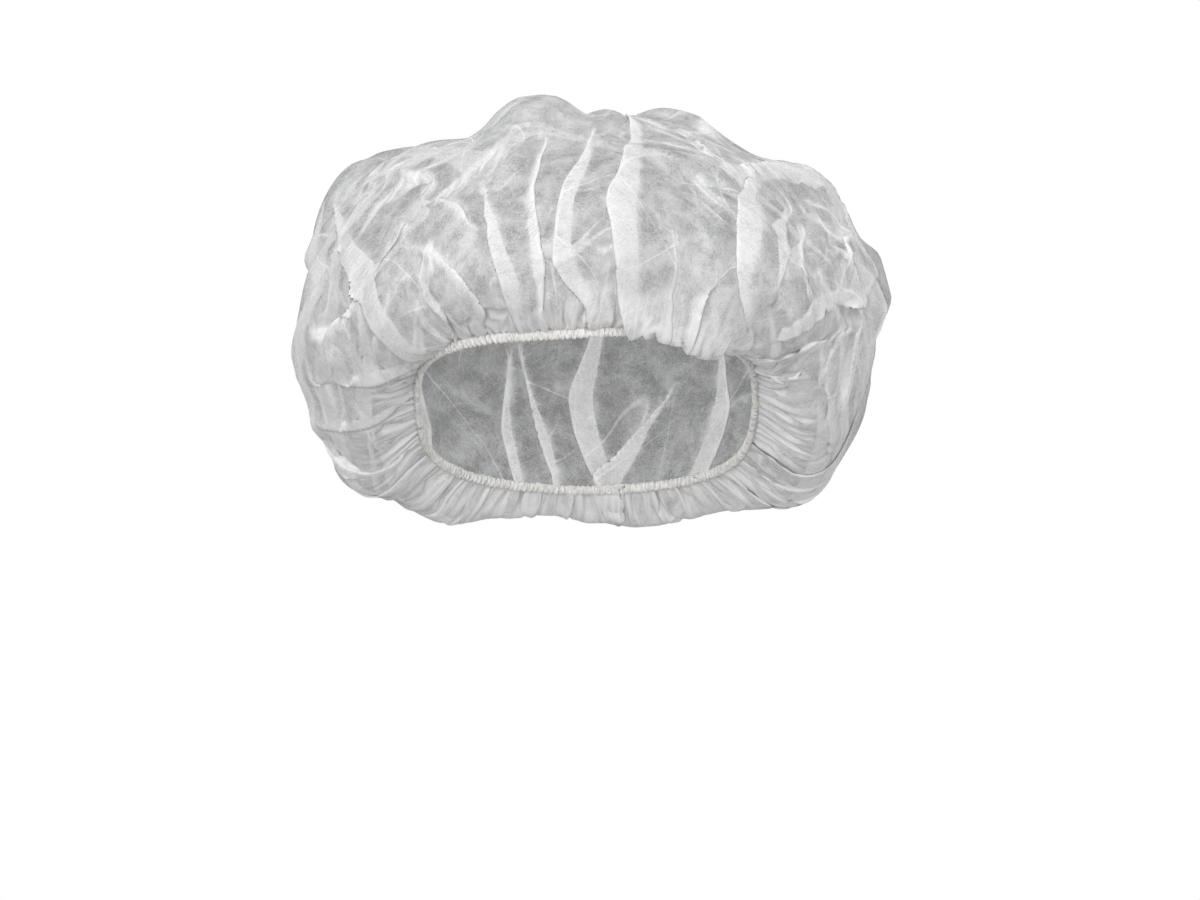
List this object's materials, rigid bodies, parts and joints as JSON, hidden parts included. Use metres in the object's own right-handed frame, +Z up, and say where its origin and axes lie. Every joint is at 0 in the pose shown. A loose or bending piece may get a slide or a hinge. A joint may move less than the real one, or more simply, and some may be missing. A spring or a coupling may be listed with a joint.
{
  "type": "bouffant cap",
  "caption": "Disposable bouffant hair cap of thin white nonwoven cloth, puffed out as worn and gathered at its hem onto a ring of elastic.",
  "frame": {"origin": "middle of the head opening: in plan the middle of the elastic ring, and in height halfway between its front and its nape", "axes": "+Z up on an upright head, -Y the way the wearer faces, +X to the right of someone who looks at the wearer"},
  "size_m": [0.2769, 0.2709, 0.2079],
  "materials": {
    "nonwoven": "thin see-through spunbond nonwoven, matt",
    "elastic": "gathered hem over covered elastic, matt"
  },
  "bodies": {
    "root": {"crown": "nonwoven", "elastic_band": "elastic"}
  },
  "joints": []
}
